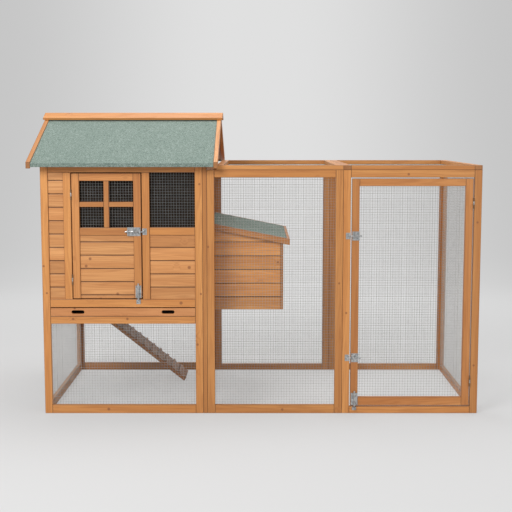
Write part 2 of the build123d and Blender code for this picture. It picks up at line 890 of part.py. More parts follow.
nest_span = (nest_floor_height, lid_top(house_length, lid_step))
nest_lines = board_lines(
    nest_floor_height + nest_board_first, nest_board_pitch, nest_span
)
with BuildPart() as nest_side_walls:
    for y, face in (
        ((nest_y[0], nest_y[0] + nest_side), nest_y[0]),
        ((nest_y[1] - nest_side, nest_y[1]), nest_y[1]),
    ):
        nest_wall(nest_x, y)
        score(nest_x, y, nest_lines, "x", face)
save(nest_side_walls.part, "nest_side_walls")

nest_end_x = (nest_x[1] + joint, nest_x[1] + joint + nest_end)
with BuildPart() as nest_end_wall:
    nest_wall(nest_end_x, nest_y)
    end_span = (nest_floor_height, lid_top(nest_end_x[1], lid_step + seat))
    end_lines = [line for line in nest_lines if line < end_span[1] - 2 * groove]
    score(nest_end_x, nest_y, end_lines, "y", nest_end_x[1])
save(nest_end_wall.part, "nest_end_wall")

nest_floor_top = nest_floor_height + nest_floor_thick
with BuildPart() as nest_floor:
    floor_x = (nest_x[0], nest_x[1] - joint)
    slab(floor_x, nest_in_y, (nest_floor_height, nest_floor_top))
save(nest_floor.part, "nest_floor")

with BuildPart() as nest_divider:
    middle = (nest_y[0] + nest_y[1]) / 2
    divider_z = (nest_floor_top + joint, nest_floor_top + divider_height)
    slab(floor_x, (middle - nest_side / 2, middle + nest_side / 2), divider_z)
save(nest_divider.part, "nest_divider")

# Run front frame: the first bay and the posts of the door bay
first_bay = (house_length + joint, post_x)
rail_top = (run_height - wide, run_height)
with BuildPart() as run_front_frame:
    for left in (first_bay[0], post_x - wide, post_x + joint, end_x - wide):
        slab((left, left + wide), (0, thick), (0, run_height))
    bay_gap = between(first_bay[0] + wide, post_x - wide)
    slab(bay_gap, (0, thick), (0, side_rail))
    slab(bay_gap, (0, thick), rail_top)
    slab(between(*run_open), (0, thick), (0, low_sill))
    slab(between(*run_open), (0, thick), rail_top)
save(run_front_frame.part, "run_front_frame")

bay_open = (first_bay[0] + wide, post_x - wide)
net_z = (side_rail, run_height - wide)
collect([front_net(bay_open, net_z, net_y)], "run_front_net")

# Run back frame in two panels
back_bays = [(house_length + joint, post_x), (post_x + joint, end_x)]
with BuildPart() as run_back_frame:
    for start, stop in back_bays:
        for left in (start, stop - wide):
            slab((left, left + wide), (back_in, depth), (0, run_height))
        gap_x = between(start + wide, stop - wide)
        slab(gap_x, (back_in, depth), (0, low_sill))
        slab(gap_x, (back_in, depth), rail_top)
save(run_back_frame.part, "run_back_frame")

low_net_z = (low_sill, run_height - wide)
back_nets = [
    front_net((start + wide, stop - wide), low_net_z, back_net_y)
    for start, stop in back_bays
]
collect(back_nets, "run_back_nets")

# Run end frame
with BuildPart() as run_end_frame:
    for front in wall_posts:
        slab((run_in, end_x), (front, front + wide), (0, run_height))
    slab((run_in, end_x), wall_gap, (0, low_sill))
    slab((run_in, end_x), wall_gap, rail_top)
save(run_end_frame.part, "run_end_frame")

end_net = side_net(
    (wall_y[0] + wide + 2, wall_y[1] - wide - 2),
    low_net_z,
    run_in - joint - net_thick,
    end_net_pitch,
)
collect([end_net], "run_end_net")

# Top frame over both bays: the door bay's side rails show their ends at the front
top_z = (run_height + joint, run_height + top_frame_thick)
top_x = house_length + top_frame_start
with BuildPart() as run_top_frame:
    first_top = (top_x, post_x - joint)
    for front in (0, depth - wide):
        slab(first_top, (front, front + wide), top_z)
    for left in (first_top[0], first_top[1] - wide):
        slab((left, left + wide), between(wide, depth - wide), top_z)
    for left in (post_x, end_x - wide):
        slab((left, left + wide), (0, depth), top_z)
    for front in (0, depth - wide):
        slab(between(post_x + wide, end_x - wide), (front, front + wide), top_z)
save(run_top_frame.part, "run_top_frame")

top_open_y = (wide, depth - wide)
top_nets = [
    flat_net((top_x + wide, post_x - joint - wide), top_open_y, run_height),
    flat_net((post_x + wide, end_x - wide), top_open_y, run_height),
]
collect(top_nets, "run_top_nets")
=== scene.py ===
import json
import math
import random

import bmesh
import bpy
from mathutils import Matrix, Vector


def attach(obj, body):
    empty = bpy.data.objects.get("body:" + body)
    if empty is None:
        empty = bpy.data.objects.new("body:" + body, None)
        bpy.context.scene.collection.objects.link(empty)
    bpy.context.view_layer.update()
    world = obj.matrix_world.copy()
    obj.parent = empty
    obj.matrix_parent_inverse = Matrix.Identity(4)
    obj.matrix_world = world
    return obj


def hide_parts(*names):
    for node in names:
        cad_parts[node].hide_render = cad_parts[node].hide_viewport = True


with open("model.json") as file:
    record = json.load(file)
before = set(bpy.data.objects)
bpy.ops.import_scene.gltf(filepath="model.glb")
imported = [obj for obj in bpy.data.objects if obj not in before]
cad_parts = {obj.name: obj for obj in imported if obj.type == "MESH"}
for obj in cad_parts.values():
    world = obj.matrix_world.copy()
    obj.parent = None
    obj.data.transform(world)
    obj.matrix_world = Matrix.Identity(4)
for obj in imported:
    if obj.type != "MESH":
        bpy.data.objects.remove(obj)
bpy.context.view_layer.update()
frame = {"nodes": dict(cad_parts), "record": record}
record = frame["record"]
bodyOf = {}
for bodyName, members in record["behaviour"]["bodies"].items():
    for member in members:
        bodyOf[member] = bodyName
slotOf = {row["node"]: row["material_slot"] for row in record["subparts"]}
chance = random.Random(11)
print("frame loaded,", len(bodyOf), "nodes")

# the frame's origin, in millimetres from the house's front left bottom corner
origin = {"x": 989, "y": 470}


def at(x, y, z):
    # millimetres from the house's front left bottom corner, to metres in the frame
    return Vector(((x - origin["x"]) / 1000, (y - origin["y"]) / 1000, z / 1000))


def makePiece(name, bm, material, body, slotName, *replaced):
    mesh = bpy.data.meshes.new(name)
    bm.to_mesh(mesh)
    bm.free()
    piece = bpy.data.objects.new(name, mesh)
    bpy.context.scene.collection.objects.link(piece)
    mesh.materials.append(material)
    if replaced:
        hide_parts(*replaced)
    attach(piece, body)
    return piece


def addNode(tree, kind, settings, sockets):
    # one shader node: settings are its own values, sockets are numbers or links
    made = tree.nodes.new(kind)
    for key, value in settings.items():
        setattr(made, key, value)
    for key, value in sockets.items():
        if isinstance(value, bpy.types.NodeSocket):
            tree.links.new(value, made.inputs[key])
        else:
            made.inputs[key].default_value = value
    return made


def startMaterial(name):
    material = bpy.data.materials.new(name)
    material.use_nodes = True
    tree = material.node_tree
    tree.nodes.clear()
    shader = tree.nodes.new("ShaderNodeBsdfPrincipled")
    output = tree.nodes.new("ShaderNodeOutputMaterial")
    tree.links.new(shader.outputs[0], output.inputs[0])
    return material, tree, shader


def setSurface(shader, values):
    for key, value in values.items():
        shader.inputs[key].default_value = value


def addBump(tree, shader, height, values):
    made = addNode(tree, "ShaderNodeBump", {}, {"Height": height, **values})
    tree.links.new(made.outputs[0], shader.inputs["Normal"])


def mathNode(tree, operation, first, second=0.0, clamp=False):
    made = addNode(tree, "ShaderNodeMath", {"operation": operation, "use_clamp": clamp},
                   {0: first, 1: second})
    return made.outputs[0]


def mixColour(tree, factor, first, second, blend="MIX"):
    made = tree.nodes.new("ShaderNodeMix")
    made.data_type = "RGBA"
    made.blend_type = blend
    for socket, value in ((made.inputs[0], factor), (made.inputs[6], first), (made.inputs[7], second)):
        if isinstance(value, bpy.types.NodeSocket):
            tree.links.new(value, socket)
        else:
            socket.default_value = value
    return made.outputs[2]


def rangeNode(tree, value, low, high, lowOut, highOut, smooth=True):
    kind = "SMOOTHSTEP" if smooth else "LINEAR"
    made = addNode(tree, "ShaderNodeMapRange", {"interpolation_type": kind},
                   {0: value, 1: low, 2: high, 3: lowOut, 4: highOut})
    return made.outputs[0]


def greyNode(tree, value):
    return addNode(tree, "ShaderNodeCombineColor", {}, {0: value, 1: value, 2: value}).outputs[0]


def noiseNode(tree, place, sockets):
    return addNode(tree, "ShaderNodeTexNoise", {}, {"Vector": place, **sockets}).outputs[0]


def cellNode(tree, place, scale):
    return addNode(tree, "ShaderNodeTexVoronoi", {}, {"Vector": place, "Scale": scale}).outputs


def channels(tree, colour):
    return addNode(tree, "ShaderNodeSeparateColor", {}, {0: colour}).outputs


def axes(tree, place):
    return addNode(tree, "ShaderNodeSeparateXYZ", {}, {0: place}).outputs


def attribute(tree, name, output):
    return addNode(tree, "ShaderNodeAttribute", {"attribute_name": name}, {}).outputs[output]


def objectPlace(tree):
    return addNode(tree, "ShaderNodeTexCoord", {}, {}).outputs["Object"]


# stained fir: rings follow each timber's own length, with small red brown knots
stainedFir = {
    "light": (0.74, 0.365, 0.150, 1),
    "main": (0.60, 0.262, 0.094, 1),
    "dark": (0.43, 0.165, 0.052, 1),
    "knot": (0.20, 0.062, 0.022, 1),
    # painted shade for the rounded rims and the joints between timbers and boards
    "jointShade": (0.075, 0.028, 0.010, 1),
    "cutEnd": (0.22, 0.088, 0.032, 1),
    "stretch": (1.1, 21.0, 21.0),
    "fineStretch": (7.0, 330.0, 330.0),
    "broadNoise": {"Scale": 1.0, "Detail": 3.0, "Roughness": 0.45, "Distortion": 0.2},
    "fibreNoise": {"Scale": 1.0, "Detail": 4.0, "Roughness": 0.6},
    "ringTurns": 68.0,
    # sets of four: where a change starts and ends, then its value at the start and at the end
    "ringRange": (-0.6, 1.0, 0.0, 1.0),
    "lateFibre": (0.3, 0.7, 0.55, 1.0),
    "lightShare": (0.3, 0.7, 0.0, 1.0),
    "streak": (0.35, 0.75, 0.0, 0.22),
    "core": (0.035, 0.062, 1.0, 0.0),
    "halo": (0.03, 0.24, 1.0, 0.0),
    # painted shade at the joints between boards
    "boardSeam": (0.9, 2.3, 0.92, 0.0),
    # knots from cells: their scale, the share of cells without one, how far rings bend round one
    "knotCells": 8.5, "bareCells": 0.35, "bend": 0.11,
    # how strongly each mark shows; the rim mark is painted shade
    "ringMark": 0.42, "knotMark": 0.70, "haloMark": 0.18, "cutMark": 0.62, "rimShadeMark": 0.62,
    "tones": (0.86, 1.10),
    "rough": (0.41, 0.57),
    "surface": {"Specular IOR Level": 0.45, "Coat Weight": 0.12, "Coat Roughness": 0.34},
    "fibreHeight": 0.7, "ringHeight": 0.3,
    "bump": {"Strength": 0.35, "Distance": 0.0006},
    # knots of the front seen in the photograph: x and z in mm, radius in m
    "frontKnots": [
        (224, 735, 0.008), (205, 701, 0.008), (350, 570, 0.008), (685, 694, 0.009),
        (646, 527, 0.009), (394, 452, 0.007), (735, 1082, 0.006), (739, 570, 0.006),
        (20, 574, 0.006), (8, 701, 0.006), (774, 791, 0.006), (52, 240, 0.007),
        (2020, 230, 0.006), (722, 330, 0.007), (1384, 620, 0.006), (2022, 905, 0.006),
        (300, 20, 0.008), (1120, 18, 0.007), (1700, 1128, 0.007), (1418, 480, 0.006)],
    "frontDepth": -0.44,  # only timber further forward than this shows them, in metres
    "knotInner": 0.5, "knotOuter": 1.15,
}

# painted shade: surfaces inside the house's room are darkened towards black as if unlit, box in metres
paintedRoomShade = {"low": (-0.9725, -0.4485, 0.4505), "high": (-0.2355, 0.4535, 1.34),
            "shade": 0.90, "colour": (0.0, 0.0, 0.0, 1)}


def roomShade(tree, place):
    # one inside the house's room and zero outside it
    parts = axes(tree, place)
    inside = 1.0
    for k in range(3):
        above = mathNode(tree, "GREATER_THAN", parts[k], paintedRoomShade["low"][k])
        below = mathNode(tree, "LESS_THAN", parts[k], paintedRoomShade["high"][k])
        inside = mathNode(tree, "MULTIPLY", inside, mathNode(tree, "MULTIPLY", above, below))
    return inside


def firMaterial(name, tint, rows, room):
    # rows: one board joint's height and the boards' pitch in mm; room: it lines the house's room and
    # gets that room's painted shade
    fir = stainedFir
    material, tree, shader = startMaterial(name)
    grain = attribute(tree, "grain", "Vector")
    tone = attribute(tree, "tone", "Fac")
    wide = addNode(tree, "ShaderNodeMapping", {}, {"Vector": grain, "Scale": fir["stretch"]})
    thin = addNode(tree, "ShaderNodeMapping", {}, {"Vector": grain, "Scale": fir["fineStretch"]})
    broad = noiseNode(tree, wide.outputs[0], fir["broadNoise"])
    fibre = noiseNode(tree, thin.outputs[0], fir["fibreNoise"])
    # knots: a few cells in each metre of timber hold one
    cells = cellNode(tree, grain, fir["knotCells"])
    held = mathNode(tree, "GREATER_THAN", channels(tree, cells["Color"])[0], fir["bareCells"])
    core = mathNode(tree, "MULTIPLY", rangeNode(tree, cells["Distance"], *fir["core"]), held)
    halo = mathNode(tree, "MULTIPLY", rangeNode(tree, cells["Distance"], *fir["halo"]), held)
    # rings as contour lines of the broad noise, bent round each knot
    bent = mathNode(tree, "ADD", broad, mathNode(tree, "MULTIPLY", halo, fir["bend"]))
    rings = mathNode(tree, "SINE", mathNode(tree, "MULTIPLY", bent, fir["ringTurns"]))
    rings = rangeNode(tree, rings, *fir["ringRange"])
    late = mathNode(tree, "MULTIPLY", rings, rangeNode(tree, fibre, *fir["lateFibre"]))
    colour = mixColour(tree, rangeNode(tree, broad, *fir["lightShare"]), fir["main"], fir["light"])
    colour = mixColour(tree, mathNode(tree, "MULTIPLY", late, fir["ringMark"]), colour, fir["dark"])
    colour = mixColour(tree, rangeNode(tree, fibre, *fir["streak"]), colour, fir["dark"])
    shade = greyNode(tree, rangeNode(tree, tone, 0.0, 1.0, *fir["tones"], smooth=False))
    colour = mixColour(tree, 1.0, colour, shade, "MULTIPLY")
    colour = mixColour(tree, 1.0, colour, tint, "MULTIPLY")
    # the front's own knots
    place = objectPlace(tree)
    flat = addNode(tree, "ShaderNodeVectorMath", {"operation": "MULTIPLY"},
                   {0: place, 1: (1.0, 0.0, 1.0)})
    atFront = mathNode(tree, "LESS_THAN", axes(tree, place)[1], fir["frontDepth"])
    front = None
    for x, z, radius in fir["frontKnots"]:
        spot = at(x, origin["y"], z)
        away = addNode(tree, "ShaderNodeVectorMath", {"operation": "DISTANCE"},
                       {0: flat.outputs[0], 1: (spot.x, 0.0, spot.z)}).outputs["Value"]
        one = rangeNode(tree, away, radius * fir["knotInner"], radius * fir["knotOuter"], 1.0, 0.0)
        front = one if front is None else mathNode(tree, "MAXIMUM", front, one)
    front = mathNode(tree, "MULTIPLY", front, atFront)
    allKnots = mathNode(tree, "MULTIPLY", mathNode(tree, "MAXIMUM", core, front), fir["knotMark"])
    colour = mixColour(tree, mathNode(tree, "MULTIPLY", halo, fir["haloMark"]), colour, fir["dark"])
    colour = mixColour(tree, allKnots, colour, fir["knot"])
    # sawn ends are darker end grain; the rounded rims at edges and joints between timbers get painted
    # shade
    sawn = mathNode(tree, "MULTIPLY", attribute(tree, "cutEnd", "Fac"), fir["cutMark"])
    rim = mathNode(tree, "MULTIPLY", attribute(tree, "rim", "Fac"), fir["rimShadeMark"])
    colour = mixColour(tree, sawn, colour, fir["cutEnd"])
    colour = mixColour(tree, rim, colour, fir["jointShade"])
    # painted shade along the joints between boards
    if rows:
        joint, pitch = rows
        boards = mathNode(tree, "SUBTRACT", axes(tree, place)[2], joint / 1000)
        boards = mathNode(tree, "DIVIDE", boards, pitch / 1000)
        near = mathNode(tree, "MULTIPLY", mathNode(tree, "PINGPONG", boards, 0.5), pitch)
        colour = mixColour(tree, rangeNode(tree, near, *fir["boardSeam"]), colour, fir["jointShade"])
    # painted shade: timber inside the house's room is darkened towards black
    if room:
        unlit = mathNode(tree, "MULTIPLY", roomShade(tree, place), paintedRoomShade["shade"])
        colour = mixColour(tree, unlit, colour, paintedRoomShade["colour"])
    tree.links.new(colour, shader.inputs["Base Color"])
    rough = rangeNode(tree, late, 0.0, 1.0, *fir["rough"], smooth=False)
    tree.links.new(rough, shader.inputs["Roughness"])
    setSurface(shader, fir["surface"])
    height = mathNode(tree, "ADD", mathNode(tree, "MULTIPLY", fibre, fir["fibreHeight"]),
                      mathNode(tree, "MULTIPLY", rings, fir["ringHeight"]))
    addBump(tree, shader, height, fir["bump"])
    return material


# green grey mineral felt: pale and dark grit on a green ground
mineralFelt = {
    "ground": (0.139, 0.191, 0.164, 1),
    "pale": (0.38, 0.44, 0.40, 1),
    "dark": (0.055, 0.085, 0.068, 1),
    "grit": 400.0,
    "patchNoise": {"Scale": 7.0, "Detail": 5.0},
    "mottleNoise": {"Scale": 120.0, "Detail": 4.0},
    # where each mark starts and ends in its noise, then its strength at the start and the end
    "paleMark": (0.70, 0.86, 0.0, 0.64),
    "darkMark": (0.66, 0.84, 0.0, 0.56),
    "mottleMark": (0.35, 0.65, 0.05, 0.30),
    "patchMark": (0.3, 0.75, 0.0, 0.22),
    "surface": {"Roughness": 0.92, "Specular IOR Level": 0.2},
    "bump": {"Strength": 0.6, "Distance": 0.0012},
}


def feltMaterial(name):
    felt = mineralFelt
    material, tree, shader = startMaterial(name)
    place = objectPlace(tree)
    grit = cellNode(tree, place, felt["grit"])
    pick = channels(tree, grit["Color"])
    patch = noiseNode(tree, place, felt["patchNoise"])
    mottle = noiseNode(tree, place, felt["mottleNoise"])
    colour = mixColour(tree, rangeNode(tree, mottle, *felt["mottleMark"]), felt["ground"], felt["pale"])
    colour = mixColour(tree, rangeNode(tree, pick[1], *felt["darkMark"]), colour, felt["dark"])
    colour = mixColour(tree, rangeNode(tree, pick[0], *felt["paleMark"]), colour, felt["pale"])
    colour = mixColour(tree, rangeNode(tree, patch, *felt["patchMark"]), colour, felt["ground"])
    tree.links.new(colour, shader.inputs["Base Color"])
    setSurface(shader, felt["surface"])
    addBump(tree, shader, mathNode(tree, "SUBTRACT", 1.0, grit["Distance"]), felt["bump"])
    return material


# zinc plate, wire, dull hinges and the tray's pan share one recipe with their own values
metalFinishes = {
    "zinc": {"base": (0.64, 0.65, 0.65, 1), "worn": (0.23, 0.235, 0.24, 1),
             "scale": 160.0, "rough": 0.34, "metal": 0.9},
    "wire": {"base": (0.46, 0.445, 0.42, 1), "worn": (0.31, 0.30, 0.285, 1),
             "scale": 60.0, "rough": 0.42, "metal": 0.35},
    "hinge": {"base": (0.24, 0.15, 0.085, 1), "worn": (0.12, 0.07, 0.04, 1),
              "scale": 190.0, "rough": 0.5, "metal": 0.4},
    "pan": {"base": (0.60, 0.61, 0.62, 1), "worn": (0.47, 0.48, 0.50, 1),
            "scale": 55.0, "rough": 0.38, "metal": 0.9},
}
metalRecipe = {
    "smearScale": 0.6, "smearDetail": 5.0, "flakeWear": 0.35, "smearWear": (0.35, 0.7, 0.0, 0.6),
    "roughRange": (0.2, 0.8), "smoother": 0.08, "rougher": 0.14,
    "bump": {"Strength": 0.15, "Distance": 0.0003},
}


def metalMaterial(name):
    finish = metalFinishes[name]
    recipe = metalRecipe
    material, tree, shader = startMaterial(name + "Metal")
    place = objectPlace(tree)
    spangle = cellNode(tree, place, finish["scale"])
    flake = channels(tree, spangle["Color"])[0]
    smear = noiseNode(tree, place, {"Scale": finish["scale"] * recipe["smearScale"],
                                    "Detail": recipe["smearDetail"]})
    wear = mathNode(tree, "ADD", mathNode(tree, "MULTIPLY", flake, recipe["flakeWear"]),
                    rangeNode(tree, smear, *recipe["smearWear"]))
    tree.links.new(mixColour(tree, wear, finish["base"], finish["worn"]), shader.inputs["Base Color"])
    rough = rangeNode(tree, smear, *recipe["roughRange"],
                      finish["rough"] - recipe["smoother"], finish["rough"] + recipe["rougher"])
    tree.links.new(rough, shader.inputs["Roughness"])
    setSurface(shader, {"Metallic": finish["metal"]})
    addBump(tree, shader, smear, recipe["bump"])
    return material


# one board joint's height and the boards' pitch, in mm
boardRows = {"house": (1099.3, 62.2), "door": (814.0, 62.2), "nest": (535.2, 66.05)}

# each timber's paint: its tint, its board joints and whether it lines the house's room, which darkens
# it with painted shade
firPaints = {
    "timber": ((0.88, 0.80, 0.58, 1), None, True),
    "moving": ((0.78, 0.68, 0.50, 1), None, False),
    "strip": ((1.03, 0.98, 0.94, 1), None, False),
    "board": ((0.95, 0.93, 0.84, 1), boardRows["house"], True),
    "doorBoard": ((0.87, 0.85, 0.76, 1), boardRows["door"], False),
    "nestBoard": ((1.00, 0.93, 0.68, 1), boardRows["nest"], False),
}
paints = {key: firMaterial(key + "Fir", *values) for key, values in firPaints.items()}
feltPaint = feltMaterial("mineralFelt")
metals = {key: metalMaterial(key) for key in metalFinishes}
print("materials made")

# how the CAD's meshes are cleaned and read: metres, radians and shares of a length
meshRules = {"weld": 1e-6, "flat": 0.02, "sharp": 0.6, "endOn": 0.9, "upright": 0.8, "grainShift": 9}


def looseGroups(bm):
    # the separate solids in one mesh
    bm.verts.ensure_lookup_table()
    bm.verts.index_update()
    seen = set()
    groups = []
    for start in bm.verts:
        if start.index in seen:
            continue
        seen.add(start.index)
        stack = [start]
        group = []
        while stack:
            vertex = stack.pop()
            group.append(vertex)
            for edge in vertex.link_edges:
                other = edge.other_vert(vertex)
                if other.index not in seen:
                    seen.add(other.index)
                    stack.append(other)
        groups.append(group)
    return groups


def copyNode(node):
    # a merged copy of a CAD node's mesh with its flat faces whole again
    bm = bmesh.new()
    bm.from_mesh(frame["nodes"][node].data)
    bmesh.ops.remove_doubles(bm, verts=bm.verts, dist=meshRules["weld"])
    bmesh.ops.dissolve_limit(bm, angle_limit=meshRules["flat"], verts=bm.verts, edges=bm.edges)
    return bm


def softenEdges(bm, size, segments):
    # rounds the sharp edges and marks the rounded strips as the rim
    rim = bm.faces.layers.float.new("rim")
    sharp = [edge for edge in bm.edges
             if len(edge.link_faces) == 2 and edge.calc_face_angle(0) > meshRules["sharp"]]
    made = bmesh.ops.bevel(bm, geom=sharp, offset=size, offset_type="OFFSET", segments=segments,
                           profile=0.5, affect="EDGES", clamp_overlap=True, material=-1)
    for face in made["faces"]:
        face[rim] = 1.0


def markGrain(bm, along, rows):
    # each timber or board gets its own stretch of grain, along its length, and its own tone
    grain = bm.verts.layers.float_vector.new("grain")
    tone = bm.verts.layers.float.new("tone")
    cut = bm.faces.layers.float.new("cutEnd")
    bm.normal_update()
    for group in looseGroups(bm):
        length = along
        if length is None:
            edges = {edge for vertex in group for edge in vertex.link_edges}
            longest = max(edges, key=lambda edge: edge.calc_length())
            length = (longest.verts[1].co - longest.verts[0].co).normalized()
        helper = Vector((0, 0, 1)) if abs(length.z) < meshRules["upright"] else Vector((0, 1, 0))
        side = length.cross(helper).normalized()
        up = length.cross(side)
        shifts = {}
        for vertex in group:
            row = int((vertex.co.z * 1000 - rows[0]) // rows[1]) if rows else 0
            if row not in shifts:
                shift = Vector([chance.uniform(0, meshRules["grainShift"]) for _ in range(3)])
                shifts[row] = (shift, chance.random())
            shift, shade = shifts[row]
            lines = Vector((vertex.co.dot(length), vertex.co.dot(side), vertex.co.dot(up)))
            vertex[grain] = lines + shift
            vertex[tone] = shade
        for face in {face for vertex in group for face in vertex.link_faces}:
            face[cut] = 1.0 if abs(face.normal.dot(length)) > meshRules["endOn"] else 0.0


# timber: how each wooden node is dressed; the rest take the plain frame timber's values
timberDress = {
    "plain": {"edge": 0.0013, "segments": 2, "along": None, "rows": None, "paint": "timber"},
    "tray_front": {"edge": 0.0013, "segments": 2, "along": (1, 0, 0), "rows": None, "paint": "strip"},
    "ramp_cleats": {"edge": 0.0008, "segments": 1, "along": (0, 1, 0), "rows": None, "paint": "timber"},
}
# boarded nodes: the way that their grain runs, their rows and their paint
boardedNodes = {
    "house_front_siding": ((1, 0, 0), "house", "board"),
    "house_back_siding": ((1, 0, 0), "house", "board"),
    "house_left_siding": ((0, 1, 0), "house", "board"),
    "house_right_siding": ((0, 1, 0), "house", "board"),
    "gable_boards": ((0, 1, 0), "house", "board"),
    "house_door_siding": ((1, 0, 0), "door", "doorBoard"),
    "nest_side_walls": ((1, 0, 0), "nest", "nestBoard"),
    "nest_end_wall": ((0, 1, 0), "nest", "nestBoard"),
}
for node, (along, rows, paint) in boardedNodes.items():
    timberDress[node] = {"edge": 0.0006, "segments": 1, "along": along,
                         "rows": boardRows[rows], "paint": paint}

for node in sorted(bodyOf):
    if slotOf[node] != "timber":
        continue
    dress = timberDress.get(node, timberDress["plain"])
    bm = copyNode(node)
    softenEdges(bm, dress["edge"], dress["segments"])
    markGrain(bm, Vector(dress["along"]) if dress["along"] else None, dress["rows"])
    paint = dress["paint"]
    if paint == "timber" and bodyOf[node] != "frame":
        paint = "moving"
    makePiece("look_" + node, bm, paints[paint], bodyOf[node], "timber", node)
print("timber dressed")

# felt: a soft rounded sheet on the house's roof and on the nest's lid
feltDress = {"edge": 0.0009, "segments": 2}
for node in ("roof_felt", "nest_lid_felt"):
    bm = copyNode(node)
    softenEdges(bm, feltDress["edge"], feltDress["segments"])
    makePiece("look_" + node, bm, feltPaint, bodyOf[node], "roof_felt", node)
print("felt laid")

# welded wire: 12.7 mm squares, one wire laid on the other
weldedWire = {"pitch": 0.0127, "radius": 0.0005, "sides": 6, "wander": 0.0001, "lap": 0.95}


def addWire(bm, start, end, radius, sides):
    run = end - start
    turn = Vector((0, 0, 1)).rotation_difference(run.normalized()).to_matrix().to_4x4()
    bmesh.ops.create_cone(bm, cap_ends=True, segments=sides, radius1=radius, radius2=radius,
                          depth=run.length, matrix=Matrix.Translation((start + end) / 2) @ turn)


def layNet(bm, low, high):
    # wires both ways over a flat net's box; the thin way is its normal
    pitch, radius = weldedWire["pitch"], weldedWire["radius"]
    sizes = high - low
    normal = min(range(3), key=lambda k: sizes[k])
    ways = [k for k in range(3) if k != normal]
    middle = (low[normal] + high[normal]) / 2
    for way, other, lift in ((ways[0], ways[1], -1), (ways[1], ways[0], 1)):
        count = int(sizes[other] // pitch)
        first = low[other] + (sizes[other] - count * pitch) / 2
        for k in range(count + 1):
            start = Vector((0, 0, 0))
            start[normal] = middle + lift * radius * weldedWire["lap"]
            start[other] = first + k * pitch + chance.uniform(-1, 1) * weldedWire["wander"]
            start[other] = min(max(start[other], low[other] + radius), high[other] - radius)
            end = start.copy()
            start[way] = low[way]
            end[way] = high[way]
            addWire(bm, start, end, radius, weldedWire["sides"])


for node in sorted(bodyOf):
    if slotOf[node] != "wire_net":
        continue
    source = copyNode(node)
    boxes = []
    for group in looseGroups(source):
        low = Vector([min(vertex.co[k] for vertex in group) for k in range(3)])
        high = Vector([max(vertex.co[k] for vertex in group) for k in range(3)])
        boxes.append((low, high))
    source.free()
    bm = bmesh.new()
    for low, high in boxes:
        layNet(bm, low, high)
    makePiece("wire_" + node, bm, metals["wire"], bodyOf[node], "wire_net", node)
print("nets laid")

# metalwork: the CAD's plates, straps, barrels and bars with eased edges; small faces are smooth
metalDress = {"edge": 0.00022, "segments": 2, "smallFace": 2e-4}
metalOf = {"zinc": "zinc", "hinge_steel": "hinge"}
for node in sorted(bodyOf):
    if slotOf[node] not in metalOf:
        continue
    bm = copyNode(node)
    softenEdges(bm, metalDress["edge"], metalDress["segments"])
    for face in bm.faces:
        face.smooth = face.calc_area() < metalDress["smallFace"] and node != "tray_pan"
    finish = "pan" if node == "tray_pan" else metalOf[slotOf[node]]
    piece = makePiece("look_" + node, bm, metals[finish], bodyOf[node], slotOf[node], node)
    for edge in piece.data.edges:
        edge.use_edge_sharp = False
print("metalwork dressed")

# screw heads on the bolt plates and keepers: sizes in mm, and x and z for each body they ride on
screwHeads = {
    "radius": 2.6, "high": 1.1, "sides": 14, "seat": -1.4,
    "topShare": 0.62, "ringShare": 0.22, "dip": 0.5,
    "house_door": [(404, 848), (404, 876), (456, 848), (456, 876),
                   (438, 557), (457, 557), (438, 605), (457, 605)],
    "run_door": [(1448, 826), (1469, 826), (1448, 858), (1469, 858), (1448, 251), (1469, 251),
                 (1448, 283), (1469, 283), (1448, 46), (1470, 46), (1448, 93), (1470, 93)],
    "frame": [(484, 851), (484, 873), (440, 529), (455, 529), (1421, 831),
              (1421, 853), (1421, 256), (1421, 278), (1452, 18), (1467, 18)],
}
for body in ("house_door", "run_door", "frame"):
    bm = bmesh.new()
    for x, z in screwHeads[body]:
        centre = at(x, screwHeads["seat"] - screwHeads["high"] / 2, z)
        turn = Matrix.Rotation(math.radians(90), 4, "X")
        made = bmesh.ops.create_cone(
            bm, cap_ends=True, segments=screwHeads["sides"], radius1=screwHeads["radius"] / 1000,
            radius2=screwHeads["radius"] * screwHeads["topShare"] / 1000,
            depth=screwHeads["high"] / 1000, matrix=Matrix.Translation(centre) @ turn)
        top = min({face for vertex in made["verts"] for face in vertex.link_faces},
                  key=lambda face: face.calc_center_median().y)
        bmesh.ops.inset_individual(
            bm, faces=[top], thickness=screwHeads["radius"] * screwHeads["ringShare"] / 1000)
        bmesh.ops.translate(bm, verts=top.verts, vec=(0, screwHeads["dip"] / 1000, 0))
    makePiece("screws_" + body, bm, metals["zinc"], body, "zinc")
print("screws set")

# studio: pale floor running up into a backdrop, lengths in metres
studio = {
    "floor": (0.60, 0.60, 0.60, 1), "cloudTint": 0.97, "cloudNoise": {"Scale": 0.4, "Detail": 2.0},
    "surface": {"Roughness": 0.8, "Specular IOR Level": 0.1},
    "half": 14.0, "front": -9.0, "sunk": -0.0006, "depth": 5.5, "curve": 2.5, "steps": 16,
    "height": 9.0,
    # the painted grey glow that the camera sees: close by, far back in the middle, far back at the
    # sides, where painted shade makes it darker
    "near": 0.785, "middle": 0.745, "side": 0.565, "backFade": (0.4, 4.2), "sideFade": (0.3, 3.4),
    # its share of the picture close by, and where it takes over from the lit paper
    "painted": 0.5, "takeOver": (0.8, 3.2),
    "world": 0.40,
}


